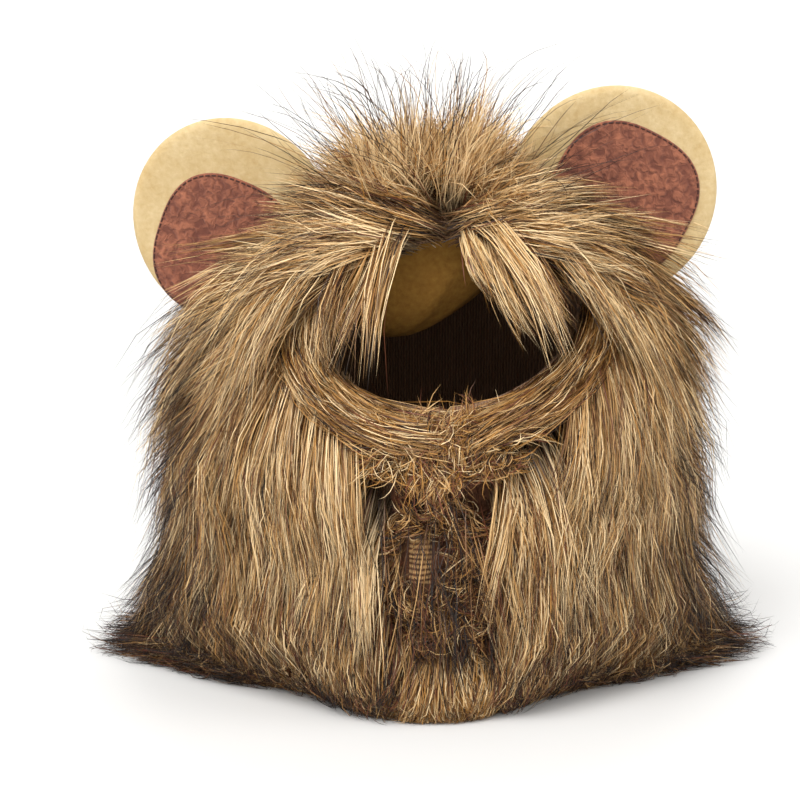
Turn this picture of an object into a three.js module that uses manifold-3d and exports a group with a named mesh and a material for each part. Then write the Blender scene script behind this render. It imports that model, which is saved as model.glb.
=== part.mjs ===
// A pet's lion hood: a faux fur mane on a knitted hood with a face opening, two padded ears with plush
// patches, a tan crown lining that sags into the opening, and a fur-covered flap that closes it under the
// chin. It stands on its neck rim, as it does off the pet. Left and right are as seen from in front.
// Millimetres, +Z up, the face looks along -Y. The origin is under the middle of the hood, on the ground.
import * as THREE from "three";
import { mergeVertices } from "three/addons/utils/BufferGeometryUtils.js";
import Module from "manifold-3d";

const wasm = await Module();
wasm.setup();

// Knitted hood
const NECK_RADIUS = 70;
const HOOD_HEIGHT = 186;
const DEPTH_RATIO = 0.93; // front to back against side to side
const DOME_POWER = 4.5; // how squarely the crown turns down into the neck
const CLOTH = 2.6;
const SEAM_GAP = 0.5; // between pieces that are sewn together
const CAP_SEGMENTS = 30;
const CAP_RINGS = 7;

// Face opening
const FACE_HALF_WIDTH = 50;
const FACE_HALF_HEIGHT = 29;
const FACE_X = 7;
const FACE_Z = 142;
const FACE_TILT = 6; // degrees, the right-hand corner up
const FACE_SEGMENTS = 22;

// Fur
const PILE = 76; // length of the longest fibres
const PILE_STAND = 34; // how far the combed mane stands off the cloth at the cheeks
const CROWN_STAND = 14; // and over the crown
const LOCK_WIDTH = 38;
const LOCK_THICKNESS = 17;
const BROW_WIDTH = 26; // of the locks combed off the opening's edge
const LOCK_SIDES = 4;
const LOCK_RINGS = 3;
const FACE_CLEAR = 11; // body locks start this far from the opening
const FLAP_CLEAR = 20; // and this many degrees round the hood from the middle of the chin flap
const RIM_ROOT = 4; // locks round the opening start this far outside its edge

// Rows of body locks, from the ground up. root is a share of the hood's height, drop one of the pile,
// and swell and reach say how far out the middle and tip lie: 0 on the cloth, 1 on the combed mane.
const ROWS = [
  { count: 18, root: 0.16, drop: 0.37, swell: 0.75, reach: 1.5, width: 0.9 },
  { count: 15, root: 0.35, drop: 0.8, swell: 0.75, reach: 1.12, width: 1 },
  { count: 16, root: 0.56, drop: 0.98, swell: 0.8, reach: 1.04, width: 1 },
  { count: 15, root: 0.76, drop: 0.98, swell: 0.85, reach: 1.0, width: 1 },
  { count: 12, root: 0.9, drop: 0.85, swell: 0.95, reach: 1.0, width: 0.85 },
  { count: 6, root: 0.97, drop: 0.6, swell: 0.95, reach: 0.95, width: 0.6 },
];

// Locks combed off the opening's edge, alike on both sides. rim is degrees round the opening from its
// top, heading degrees from straight up, bend how much more they turn down, length a share of the pile.
const BROW = [
  { rim: 9, heading: 68, bend: 16, length: 0.8, swell: 0.8, reach: 0.95 },
  { rim: 22, heading: 84, bend: 20, length: 1.0, swell: 0.7, reach: 0.95 },
  { rim: 40, heading: 102, bend: 24, length: 1.08, swell: 0.75, reach: 1.0 },
  { rim: 60, heading: 118, bend: 28, length: 1.05, swell: 0.8, reach: 1.04 },
  { rim: 82, heading: 138, bend: 26, length: 1.0, swell: 0.8, reach: 1.04 },
  { rim: 108, heading: 158, bend: 18, length: 0.96, swell: 0.8, reach: 1.02 },
];

// Locks rolled along the lip, between two places round the opening, margin outside its edge
const LIP = [
  { from: -62, to: -152, margin: 5, swell: 0.3, width: 0.62 },
  { from: -104, to: -178, margin: 12, swell: 0.45, width: 0.8 },
  { from: 58, to: 148, margin: 5, swell: 0.3, width: 0.62 },
  { from: 98, to: 174, margin: 12, swell: 0.45, width: 0.8 },
];

// Locks that hang from the opening's edge: three over the face, and the tousled ones on the chin.
// length and lean are shares of the pile, out says how far their middle stands off.
const HANGING = [
  { rim: 14, length: 0.48, lean: 0.18, out: 0.42, width: 0.6 },
  { rim: 30, length: 0.4, lean: 0.16, out: 0.42, width: 0.5 },
  { rim: -44, length: 0.46, lean: -0.1, out: 0.42, width: 0.5 },
  { rim: 205, length: 0.3, lean: -0.14, out: 0.6, width: 0.7 },
  { rim: 186, length: 0.34, lean: -0.04, out: 0.64, width: 0.7 },
  { rim: 160, length: 0.3, lean: 0.12, out: 0.62, width: 0.7 },
];

// The tuft that stands between the ears: roots in shares of the hood's half width and half depth,
// heading in degrees from straight up towards the right, lean towards the back
const CROWN = [
  { x: -0.46, y: -0.28, heading: -46, lean: -6, length: 0.62, width: 0.8 },
  { x: -0.26, y: -0.34, heading: -28, lean: -12, length: 0.56, width: 0.7 },
  { x: -0.06, y: -0.36, heading: -6, lean: -10, length: 0.56, width: 0.7 },
  { x: 0.14, y: -0.34, heading: 16, lean: -8, length: 0.56, width: 0.7 },
  { x: 0.36, y: -0.3, heading: 36, lean: -6, length: 0.58, width: 0.8 },
  { x: -0.22, y: 0.02, heading: -30, lean: 22, length: 0.56, width: 0.8 },
  { x: 0.02, y: -0.04, heading: 2, lean: 12, length: 0.56, width: 0.8 },
  { x: 0.24, y: 0.02, heading: 32, lean: 22, length: 0.56, width: 0.8 },
];

// Ears: x and y of each disc's middle are shares of the neck's radius, z of the hood's height, and drop,
// how far the patch lies below that middle, of the ear's radius. It is then turned, in degrees.
const EARS = [
  { side: "left", x: -1.03, y: 0.03, z: 0.914, drop: 0.3, pitch: 4, roll: 20, yaw: -16 },
  { side: "right", x: 0.943, y: 0.03, z: 0.973, drop: 0.175, pitch: -2, roll: -62, yaw: 12 },
];
const EAR_RADIUS = 40;
const EAR_THICKNESS = 9;
const EAR_RIM = 3; // thickness at the turned seam
const EAR_CUP = 7; // how far the rim stands in front of the middle
const EAR_CELLS = 8;
const PATCH_HALF_WIDTH = 0.65 * EAR_RADIUS;
const PATCH_HALF_HEIGHT = 0.675 * EAR_RADIUS;
const PATCH_THICKNESS = 1.4;
const PATCH_CELLS = 6;

// Crown lining
const LINING = 1.6;
const LINING_FRONT_Z = 173; // its sewn edge at the brow
const LINING_BACK_Z = 158; // and at the back of the head
const LINING_CLEARANCE = 2.3; // to the inside of the knitted hood
const LINING_SAG = 36;
const SAG_X = -15;
const SAG_Y = -14;
const LINING_CELLS = 8;

// Chin flap
const FLAP_X = 5;
const FLAP_HALF_WIDTH = 20;
const FLAP_TOP = 98;
const FLAP_BOTTOM = 14;
const FLAP_THICKNESS = 4;
const FLAP_RIDGE = 1.1;
const FLAP_RIDGES = 5;
const FLAP_COLUMNS = 6;
const FLAP_ROWS = 12;
const FLAP_FUR = 13; // room that the mane leaves for the flap's own pile
const TAIL_TOP = 36; // height at which the flap's tuft starts to spread
const TAIL_STAND = 32; // and how much deeper the room is at the ground
const FRONT_SLIT = 3; // between the two front edges that the flap closes
const FLAP_ANGLE = Math.asin(FLAP_X / NECK_RADIUS);

// Tufts on the flap. x and z are shares of its half width and height, fall and spread of the pile.
const FLAP_TUFTS = [
  { x: -0.5, z: 0.18, fall: 0.26, spread: -0.02, out: 0.9, width: 0.38 },
  { x: -0.08, z: 0.2, fall: 0.3, spread: -0.01, out: 0.98, width: 0.44 },
  { x: 0.28, z: 0.18, fall: 0.26, spread: 0.02, out: 0.94, width: 0.4 },
  { x: 0.54, z: 0.14, fall: 0.2, spread: 0.02, out: 0.8, width: 0.34 },
  { x: -0.45, z: 0.94, fall: 0.26, spread: -0.02, out: 0.28, width: 0.4 },
  { x: 0.1, z: 0.8, fall: 0.22, spread: 0.05, out: 0.3, width: 0.4 },
  { x: -0.2, z: 0.6, fall: 0.24, spread: -0.05, out: 0.28, width: 0.4 },
  { x: 0.45, z: 0.5, fall: 0.28, spread: 0.02, out: 0.28, width: 0.4 },
];

const TAN = { color: 0xd9bd85, roughness: 0.9, metalness: 0 };
const FUR = { color: 0xa98556, roughness: 0.75, metalness: 0 };
const MATTED_FUR = { color: 0x6b4630, roughness: 0.85, metalness: 0 };
const RUSSET = { color: 0x93523c, roughness: 0.95, metalness: 0 };

const vec = (x, y, z) => new THREE.Vector3(x, y, z);
const radians = THREE.MathUtils.degToRad;
const mix = THREE.MathUtils.lerp;

// A closed geometry as a solid, and a solid as a geometry
function solid(geometry) {
  const plain = geometry.index ? geometry.toNonIndexed() : geometry.clone();
  plain.deleteAttribute("normal");
  plain.deleteAttribute("uv");
  const merged = mergeVertices(plain, 1e-4);
  return new wasm.Manifold(
    new wasm.Mesh({
      numProp: 3,
      vertProperties: merged.attributes.position.array,
      triVerts: new Uint32Array(merged.index.array),
    }),
  );
}

function geometryOf(body) {
  const mesh = body.getMesh();
  const geometry = new THREE.BufferGeometry();
  geometry.setAttribute("position", new THREE.BufferAttribute(mesh.vertProperties, 3));
  geometry.setIndex(new THREE.BufferAttribute(mesh.triVerts, 1));
  geometry.computeVertexNormals();
  return geometry;
}

function geometryFrom(points, faces) {
  const geometry = new THREE.BufferGeometry().setFromPoints(points);
  geometry.setIndex(faces);
  return geometry;
}

// A closed sheet between two surfaces over u and v from -1 to 1, joined round the edge.
// u, v and the way from back to front make a right-handed set.
function sheet(columns, rows, front, back) {
  const points = [];
  const faces = [];
  for (const surface of [front, back]) {
    for (let j = 0; j <= rows; j++) {
      for (let i = 0; i <= columns; i++) {
        points.push(surface((2 * i) / columns - 1, (2 * j) / rows - 1));
      }
    }
  }
  const across = columns + 1;
  const behind = across * (rows + 1);
  const quad = (a, b, c, d) => faces.push(a, b, c, a, c, d);
  const wall = (a, b) => quad(a, a + behind, b + behind, b);
  for (let j = 0; j < rows; j++) {
    for (let i = 0; i < columns; i++) {
      const a = j * across + i;
      quad(a, a + 1, a + 1 + across, a + across);
      quad(behind + a, behind + a + across, behind + a + 1 + across, behind + a + 1);
    }
  }
  for (let i = 0; i < columns; i++) {
    wall(i, i + 1);
    wall(rows * across + i + 1, rows * across + i);
  }
  for (let j = 0; j < rows; j++) {
    wall(j * across + columns, (j + 1) * across + columns);
    wall((j + 1) * across, j * across);
  }
  return geometryFrom(points, faces);
}

// The square of u and v pressed into a round disc
const disc = (u, v) => [u * Math.sqrt(1 - (v * v) / 2), v * Math.sqrt(1 - (u * u) / 2)];

// The way out of the hood at a point of its surface
function outwardAt(point) {
  const rise = (DOME_POWER / 2) * (point.z / HOOD_HEIGHT) ** (DOME_POWER - 1);
  return vec(
    point.x / NECK_RADIUS,
    point.y / (NECK_RADIUS * DEPTH_RATIO ** 2),
    (rise * NECK_RADIUS) / HOOD_HEIGHT,
  );
}

// A lock of fur: a tube along a curve, thin at its root, that swells and ends in a point.
// Its flat side faces out of the hood unless told otherwise.
function lock(path, width, thickness, facing = outwardAt) {
  const curve = new THREE.CatmullRomCurve3(path);
  const points = [];
  const faces = [];
  for (let ring = 0; ring < LOCK_RINGS; ring++) {
    const share = ring / LOCK_RINGS;
    const middle = curve.getPointAt(share);
    const along = curve.getTangentAt(share);
    const wide = facing(middle).cross(along).normalize();
    const thick = along.clone().cross(wide);
    const taper = 1 - share ** 1.6;
    const wideSwell = (0.72 + 1.1 * share) * taper;
    const thickSwell = (0.12 + 2 * share) * taper;
    for (let k = 0; k < LOCK_SIDES; k++) {
      const turn = (2 * Math.PI * k) / LOCK_SIDES;
      const point = middle.clone();
      point.addScaledVector(wide, 0.5 * width * wideSwell * Math.cos(turn));
      point.addScaledVector(thick, 0.5 * thickness * thickSwell * Math.sin(turn));
      points.push(point);
    }
  }
  const tip = points.push(curve.getPointAt(1)) - 1;
  const root = points.push(curve.getPointAt(0)) - 1;
  const last = (LOCK_RINGS - 1) * LOCK_SIDES;
  for (let k = 0; k < LOCK_SIDES; k++) {
    const next = (k + 1) % LOCK_SIDES;
    faces.push(root, next, k, last + k, last + next, tip);
    for (let ring = 0; ring < LOCK_RINGS - 1; ring++) {
      const a = ring * LOCK_SIDES;
      const b = a + LOCK_SIDES;
      faces.push(a + k, a + next, b + next, a + k, b + next, b + k);
    }
  }
  return solid(geometryFrom(points, faces));
}

// Radius of a cap at a height, for its neck radius and its own height
function capRadius(z, radius, height) {
  const share = THREE.MathUtils.clamp(z / height, 0, 1);
  return radius * Math.sqrt(1 - share ** DOME_POWER);
}

// Half outline of a cap from its top down to its rim, closer together where the crown turns
function capProfile(radius, height) {
  return Array.from({ length: CAP_RINGS + 1 }, (_, i) => {
    const z = height * (1 - (i / CAP_RINGS) ** 2);
    return new THREE.Vector2(capRadius(z, radius, height), z);
  });
}

function revolve(profile) {
  return new THREE.LatheGeometry(profile, CAP_SEGMENTS).rotateX(Math.PI / 2).scale(1, DEPTH_RATIO, 1);
}

// All that is inside the hood's outer surface, grown by an offset
function filledCap(offset) {
  const profile = capProfile(NECK_RADIUS + offset, HOOD_HEIGHT + offset);
  return solid(revolve([new THREE.Vector2(0, 0), ...profile.reverse()]));
}

// The knitted hood: hollow, open at the neck and the face, and slit down the front under the chin
function hoodCloth() {
  const outside = capProfile(NECK_RADIUS, HOOD_HEIGHT).reverse();
  const inside = capProfile(NECK_RADIUS - CLOTH, HOOD_HEIGHT - CLOTH);
  const reach = 2 * NECK_RADIUS;
  const face = new THREE.CylinderGeometry(1, 1, reach, FACE_SEGMENTS)
    .scale(FACE_HALF_WIDTH, 1, FACE_HALF_HEIGHT)
    .rotateY(-radians(FACE_TILT))
    .translate(FACE_X, -reach / 2, FACE_Z);
  const slit = new THREE.BoxGeometry(FRONT_SLIT, reach, 2 * FACE_Z).translate(FLAP_X, -reach / 2, 0);
  return solid(revolve([...inside, ...outside]))
    .subtract(solid(face))
    .subtract(solid(slit));
}

// A place in the fur: out is 0 on the cloth and 1 on the combed surface of the mane
const furRadius = (z, out) => capRadius(z, NECK_RADIUS + PILE_STAND * out, HOOD_HEIGHT + CROWN_STAND * out);

// By the angle round the hood, from the front towards +X
function furPoint(angle, z, out) {
  const r = furRadius(z, out);
  return vec(r * Math.sin(angle), -r * DEPTH_RATIO * Math.cos(angle), z);
}

// By x, on the front half
function frontPoint(x, z, out) {
  const r = furRadius(z, out);
  return vec(x, -DEPTH_RATIO * Math.sqrt(Math.max(r * r - x * x, 0)), z);
}

// The x and z of a place round the face opening, from its top towards +X, a margin outside its edge
function rimPlace(degrees, margin) {
  const turn = radians(degrees);
  const tilt = radians(FACE_TILT);
  const across = (FACE_HALF_WIDTH + margin) * Math.sin(turn);
  const up = (FACE_HALF_HEIGHT + margin) * Math.cos(turn);
  return [
    FACE_X + across * Math.cos(tilt) - up * Math.sin(tilt),
    FACE_Z + across * Math.sin(tilt) + up * Math.cos(tilt),
  ];
}

function nearFace(point) {
  const tilt = radians(FACE_TILT);
  const x = point.x - FACE_X;
  const z = point.z - FACE_Z;
  const across = (x * Math.cos(tilt) + z * Math.sin(tilt)) / (FACE_HALF_WIDTH + FACE_CLEAR);
  const up = (z * Math.cos(tilt) - x * Math.sin(tilt)) / (FACE_HALF_HEIGHT + FACE_CLEAR);
  return point.y < 0 && Math.hypot(across, up) < 1;
}

const aboveGround = (point) => vec(point.x, point.y, Math.max(point.z, LOCK_THICKNESS / 4));

function bodyLocks() {
  const start = radians(FLAP_CLEAR);
  const locks = [];
  ROWS.forEach((row, level) => {
    const rootZ = row.root * HOOD_HEIGHT;
    for (let i = 0; i < row.count; i++) {
      const angle = FLAP_ANGLE + mix(start, 2 * Math.PI - start, i / (row.count - 1));
      const uneven = Math.sin(7 * i + 3 * level);
      const drop = row.drop * PILE * (1 + 0.08 * uneven);
      const root = furPoint(angle, rootZ, -CLOTH / 2 / PILE_STAND);
      if (nearFace(root)) continue;
      const path = [
        root,
        furPoint(angle + 0.02 * uneven, rootZ - 0.42 * drop, row.swell),
        furPoint(angle + 0.05 * uneven, rootZ - drop, row.reach),
      ];
      locks.push(lock(path.map(aboveGround), LOCK_WIDTH * row.width, LOCK_THICKNESS));
    }
  });
  return locks;
}

function browLocks() {
  const locks = [];
  for (const side of [-1, 1]) {
    for (const row of BROW) {
      const half = 0.5 * row.length * PILE;
      const [x, z] = rimPlace(side * row.rim, RIM_ROOT);
      const first = radians(row.heading);
      const second = radians(row.heading + row.bend);
      const middle = [x + side * half * Math.sin(first), z + half * Math.cos(first)];
      const end = [middle[0] + side * half * Math.sin(second), middle[1] + half * Math.cos(second)];
      const path = [
        frontPoint(x, z, -CLOTH / 2 / PILE_STAND),
        frontPoint(...middle, row.swell),
        frontPoint(...end, row.reach),
      ];
      locks.push(lock(path, BROW_WIDTH, LOCK_THICKNESS));
    }
  }
  return locks;
}

function lipLocks() {
  return LIP.map((row) => {
    const path = [0, 1 / 3, 2 / 3, 1].map((share) => {
      const [x, z] = rimPlace(mix(row.from, row.to, share), row.margin);
      return frontPoint(x, z, share === 0 ? 0 : row.swell);
    });
    return lock(path, LOCK_WIDTH * row.width, LOCK_THICKNESS);
  });
}

function hangingLocks() {
  return HANGING.map((row) => {
    const [x, z] = rimPlace(row.rim, RIM_ROOT);
    const fall = row.length * PILE;
    const lean = row.lean * PILE;
    const path = [
      frontPoint(x, z, -CLOTH / 2 / PILE_STAND),
      frontPoint(x + lean / 3, z - fall / 3, row.out),
      frontPoint(x + lean, z - fall, row.out - 0.2),
    ];
    return lock(path, LOCK_WIDTH * row.width, LOCK_THICKNESS * row.width);
  });
}

function crownLocks() {
  return CROWN.map((row) => {
    const share = (1 - row.x ** 2 - row.y ** 2) ** (1 / DOME_POWER);
    const root = vec(row.x * NECK_RADIUS, row.y * NECK_RADIUS * DEPTH_RATIO, share * HOOD_HEIGHT - CLOTH / 2);
    const heading = radians(row.heading);
    const lean = radians(row.lean);
    const way = vec(Math.sin(heading) * Math.cos(lean), Math.sin(lean), Math.cos(heading) * Math.cos(lean));
    const length = row.length * PILE;
    const middle = root.clone().addScaledVector(way, 0.5 * length).add(vec(0, 0, 0.04 * length));
    const path = [root, middle, root.clone().addScaledVector(way, length)];
    return lock(path, LOCK_WIDTH * row.width, LOCK_THICKNESS, () => vec(0, -1, 0));
  });
}

// How far the middle of the ear's padding lies in front of its own plane, and half its thickness
function earDepth(across, up) {
  const share = Math.min(Math.hypot(across, up) / EAR_RADIUS, 1);
  const half = 0.5 * mix(EAR_RIM, EAR_THICKNESS, Math.sqrt(1 - share ** 2));
  return { middle: EAR_CUP * share ** 2, half };
}

// An ear: two plush discs sewn together and padded, cupped towards the front
function earSheet(radius, inFront, behind) {
  const surface = (side, extra) => (u, v) => {
    const [a, b] = disc(u, v);
    const { middle, half } = earDepth(a * EAR_RADIUS, b * EAR_RADIUS);
    return vec(a * radius, -middle - side * (half + extra), b * radius);
  };
  return sheet(EAR_CELLS, EAR_CELLS, surface(1, inFront), surface(-1, behind));
}

function patchSheet(drop) {
  const surface = (raised) => (u, v) => {
    const [a, b] = disc(u, v);
    const across = a * PATCH_HALF_WIDTH;
    const up = b * PATCH_HALF_HEIGHT - drop * EAR_RADIUS;
    const { middle, half } = earDepth(across, up);
    return vec(across, -middle - half - raised, up);
  };
  return sheet(PATCH_CELLS, PATCH_CELLS, surface(SEAM_GAP + PATCH_THICKNESS), surface(SEAM_GAP));
}

function placeEar(geometry, ear) {
  geometry.rotateX(radians(ear.pitch)).rotateY(radians(ear.roll)).rotateZ(radians(ear.yaw));
  return solid(geometry.translate(ear.x * NECK_RADIUS, ear.y * NECK_RADIUS, ear.z * HOOD_HEIGHT));
}

// The loose cap inside the crown: its edge is sewn to the hood, and its middle sags towards the brow
function crownLining() {
  const surface = (lower) => (u, v) => {
    const [a, b] = disc(u, v);
    const edgeZ = mix(LINING_FRONT_Z, LINING_BACK_Z, (b + 1) / 2);
    const r = capRadius(edgeZ, NECK_RADIUS - CLOTH, HOOD_HEIGHT - CLOTH) - LINING_CLEARANCE;
    const droop = 1 - a ** 2 - b ** 2;
    const x = a * r + SAG_X * droop;
    const y = DEPTH_RATIO * (b * r + SAG_Y * droop);
    return vec(x, y, edgeZ - LINING_SAG * droop - lower);
  };
  return solid(sheet(LINING_CELLS, LINING_CELLS, surface(0), surface(LINING)));
}

// A sheet that follows the front of the hood, the shape of the chin flap and of the room for it.
// The offsets from the cloth are given by height, and ridge gathers the front into shallow ridges.
function frontSheet(bottom, margin, ridge, inner, outer) {
  const surface = (offset, height) => (u, v) => {
    const x = FLAP_X + u * (FLAP_HALF_WIDTH + margin);
    const z = mix(bottom, FLAP_TOP + margin, (v + 1) / 2);
    const r = furRadius(z, 0) + offset(z) + height * Math.sin(FLAP_RIDGES * Math.PI * v + u);
    return vec(x, -DEPTH_RATIO * Math.sqrt(r * r - x * x), z);
  };
  return solid(sheet(FLAP_COLUMNS, FLAP_ROWS, surface(outer, ridge), surface(inner, 0)));
}

function flapTufts() {
  return FLAP_TUFTS.map((row) => {
    const x = FLAP_X + row.x * FLAP_HALF_WIDTH;
    const z = mix(FLAP_BOTTOM, FLAP_TOP, row.z);
    const start = (SEAM_GAP + FLAP_THICKNESS / 2) / PILE_STAND;
    const path = [0, 0.5, 1].map((share) => {
      const side = x + share * row.spread * PILE;
      return aboveGround(frontPoint(side, z - share ** 1.4 * row.fall * PILE, mix(start, row.out, share)));
    });
    return lock(path, LOCK_WIDTH * row.width, LOCK_THICKNESS * row.width);
  });
}

const group = new THREE.Group();

function add(name, body, look) {
  const mesh = new THREE.Mesh(geometryOf(body), new THREE.MeshStandardMaterial(look));
  mesh.name = name;
  group.add(mesh);
}

const union = (bodies) => bodies.reduce((all, body) => all.add(body));
// The outer skin alone: closes pockets between locks, and drops trimmed ends that hang free
const largest = (body) => body.decompose().sort((a, b) => b.volume() - a.volume())[0];
const seat = filledCap(SEAM_GAP);
const underGround = solid(
  new THREE.BoxGeometry(8 * NECK_RADIUS, 8 * NECK_RADIUS, PILE).translate(0, 0, -PILE / 2),
);

const flapSheet = frontSheet(FLAP_BOTTOM, 0, FLAP_RIDGE, () => -CLOTH, () => SEAM_GAP + FLAP_THICKNESS);
const flap = union([flapSheet, ...flapTufts()]).subtract(underGround).subtract(seat);

// Room that the fur leaves for the ears and the flap, with the sewn gap all round
const earRoom = EARS.map((ear) =>
  placeEar(earSheet(EAR_RADIUS + SEAM_GAP, 3 * SEAM_GAP + PATCH_THICKNESS, SEAM_GAP), ear),
);
const flapRoom = frontSheet(-CLOTH, SEAM_GAP, 0, () => -CLOTH, (z) =>
  FLAP_FUR + TAIL_STAND * Math.max(1 - z / TAIL_TOP, 0),
);
const room = union([...earRoom, flapRoom]).subtract(filledCap(0)).add(underGround);
const locks = union([...bodyLocks(), ...browLocks(), ...lipLocks(), ...hangingLocks(), ...crownLocks()]);

add("mane", largest(hoodCloth().add(locks.subtract(room))), FUR);
add("chin_flap", largest(flap), MATTED_FUR);
add("crown_lining", crownLining(), TAN);
for (const ear of EARS) {
  add(`ear_${ear.side}`, placeEar(earSheet(EAR_RADIUS, 0, 0), ear).subtract(seat), TAN);
  add(`ear_patch_${ear.side}`, placeEar(patchSheet(ear.drop), ear).subtract(seat), RUSSET);
}

// The origin goes under the middle of the whole
const box = new THREE.Box3().setFromObject(group);
const middle = box.getCenter(vec(0, 0, 0));
for (const mesh of group.children) mesh.geometry.translate(-middle.x, -middle.y, -box.min.z);

export default group;
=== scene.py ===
# A pet's lion hood in faux fur: a knitted hood with a face opening, long combed pile all over it, two padded
# plush ears, a tan lining that sags from the crown, and a flap of matted pile that closes it under the chin.
# It stands on its neck rim. Left and right are as seen from in front. Metres, +Z up, the face towards -Y.
import math

import bmesh
import bpy
import numpy as np
from mathutils import Matrix, Vector


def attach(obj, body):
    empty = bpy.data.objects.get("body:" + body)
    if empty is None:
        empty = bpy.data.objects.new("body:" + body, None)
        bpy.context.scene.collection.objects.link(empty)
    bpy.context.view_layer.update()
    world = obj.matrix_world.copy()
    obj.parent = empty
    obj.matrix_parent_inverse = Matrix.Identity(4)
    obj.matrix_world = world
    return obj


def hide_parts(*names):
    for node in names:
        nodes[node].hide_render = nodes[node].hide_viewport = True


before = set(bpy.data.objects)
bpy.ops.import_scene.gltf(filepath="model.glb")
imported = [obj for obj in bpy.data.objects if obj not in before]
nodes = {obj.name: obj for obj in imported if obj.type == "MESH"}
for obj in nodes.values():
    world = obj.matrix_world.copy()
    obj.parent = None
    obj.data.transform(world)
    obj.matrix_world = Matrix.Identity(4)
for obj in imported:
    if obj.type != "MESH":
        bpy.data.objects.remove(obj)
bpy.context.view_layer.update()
random = np.random.default_rng(11)
MM = 0.001

# Floor, light and camera
# A seamless sheet of white card, lit by a large soft box above and in front, with weak fill from the sides.
# The camera looks slightly down on the face.
CAMERA_DISTANCE = 1.1
CAMERA_ELEVATION = 14  # degrees
CAMERA_LENS = 130
CAMERA_AIM = Vector((-0.0114, 0, 0.1))
CARD = "#d6d5d3"
CARD_HALF = 3
CARD_SWEEP = 1.6  # how far behind the hood the card begins to rise
CARD_RISE = 0.9  # and how steeply, by the square of the way past there
HOOD_MIDDLE = (0, 0, 0.1)
DAYLIGHT = 0.58


def linear(hexadecimal):
    channels = [int(hexadecimal[i : i + 2], 16) / 255 for i in (1, 3, 5)]
    return (*(c / 12.92 if c <= 0.04045 else ((c + 0.055) / 1.055) ** 2.4 for c in channels), 1)


def add_node(material, kind, inputs=None, **settings):
    """Adds a node to a material's tree. inputs are values, or sockets to link, by socket name or number."""
    tree = material.node_tree
    node = tree.nodes.new(kind)
    for name, value in settings.items():
        setattr(node, name, value)
    for name, value in (inputs or {}).items():
        if isinstance(value, bpy.types.NodeSocket):
            tree.links.new(value, node.inputs[name])
        else:
            node.inputs[name].default_value = value
    return node


def new_material(name, **surface):
    """A material whose Principled BSDF has these values, by socket name."""
    material = bpy.data.materials.new(name)
    material.use_nodes = True
    shader = material.node_tree.nodes["Principled BSDF"]
    for socket, value in surface.items():
        shader.inputs[socket.replace("_", " ")].default_value = value
    return material, shader


def placed(mesh, name, material):
    """Makes a mesh a smooth piece of one material."""
    mesh.materials.append(material)
    mesh.polygons.foreach_set("use_smooth", [True] * len(mesh.polygons))
    piece = bpy.data.objects.new(name, mesh)
    bpy.context.collection.objects.link(piece)
    return piece


camera_data = bpy.data.cameras.new("camera")
camera_data.lens = CAMERA_LENS
camera = bpy.data.objects.new("camera", camera_data)
tilt = math.radians(CAMERA_ELEVATION)
camera.location = CAMERA_AIM + CAMERA_DISTANCE * Vector((0, -math.cos(tilt), math.sin(tilt)))
camera.rotation_euler = (math.pi / 2 - tilt, 0, 0)
bpy.context.collection.objects.link(camera)
bpy.context.scene.camera = camera

bm = bmesh.new()
bmesh.ops.create_grid(bm, x_segments=1, y_segments=40, size=CARD_HALF)
for vert in bm.verts:
    vert.co.z = CARD_RISE * max(vert.co.y - CARD_SWEEP, 0) ** 2
card_mesh = bpy.data.meshes.new("card")
bm.to_mesh(card_mesh)
bm.free()
# Matt white card, so the hood's soft shadow is all that shows on it
card_material, _ = new_material("white_card", Base_Color=linear(CARD), Roughness=0.9)
placed(card_mesh, "card", card_material)

for name, place, aim, size, power in (
    ("soft_box", (-0.35, -0.9, 1.5), HOOD_MIDDLE, 0.9, 30),
    ("fill_left", (-1.4, -0.5, 0.7), HOOD_MIDDLE, 0.9, 6),
    ("fill_right", (1.4, -0.4, 0.7), HOOD_MIDDLE, 0.9, 9),
    ("back_light", (0.1, 1.0, 1.5), HOOD_MIDDLE, 0.9, 11),
    ("backdrop_light", (0, 1.5, 1.6), (0, 2.6, 0.5), 1.0, 26),
):
    lamp_data = bpy.data.lights.new(name, "AREA")
    lamp_data.size = size
    lamp_data.energy = power
    lamp = bpy.data.objects.new(name, lamp_data)
    lamp.location = place
    lamp.rotation_euler = (Vector(aim) - Vector(place)).to_track_quat("-Z", "Y").to_euler()
    bpy.context.collection.objects.link(lamp)

world = bpy.data.worlds.new("studio")
bpy.context.scene.world = world
world.use_nodes = True
background = world.node_tree.nodes["Background"]
background.inputs["Color"].default_value = linear("#ffffff")
background.inputs["Strength"].default_value = DAYLIGHT
bpy.context.scene.view_settings.view_transform = "Standard"

# Knitted hood
# The backing that the pile is knitted into: a brown jersey, cut as a squared dome, with the face opening cut
# out of it and its two front edges meeting under the chin. Only its inside shows, through the opening.
AXIS = Vector((0.45, -2.05, 0)) * MM  # the hood's own axis from the origin
NECK_RADIUS = 70 * MM
HOOD_HEIGHT = 186 * MM
DEPTH_RATIO = 0.93  # front to back against side to side
DOME_POWER = 4.5  # how squarely the crown turns down
CLOTH = 2.6 * MM
FACE_HALF_WIDTH = 50 * MM
FACE_HALF_HEIGHT = 29 * MM
FACE_X = 7 * MM
FACE_Z = 142 * MM
FACE_TILT = math.radians(6)
FRONT_SLIT = 3 * MM
FLAP_X = 5 * MM
HOOD_RINGS = 36
HOOD_STEPS = 128
KNIT_WALE = 1.1 * MM  # real wales are finer: this is what still shows
KNIT_RELIEF = 0.4 * MM
KNIT_DARK = "#74563f"
KNIT_LIGHT = "#957458"
WAVE_TURN = math.pi / 10  # a wave texture of scale 1 repeats after this many metres


def cap_radius(z, radius, height):
    return radius * np.sqrt(1 - np.clip(z / height, 0, 1) ** DOME_POWER)


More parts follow.
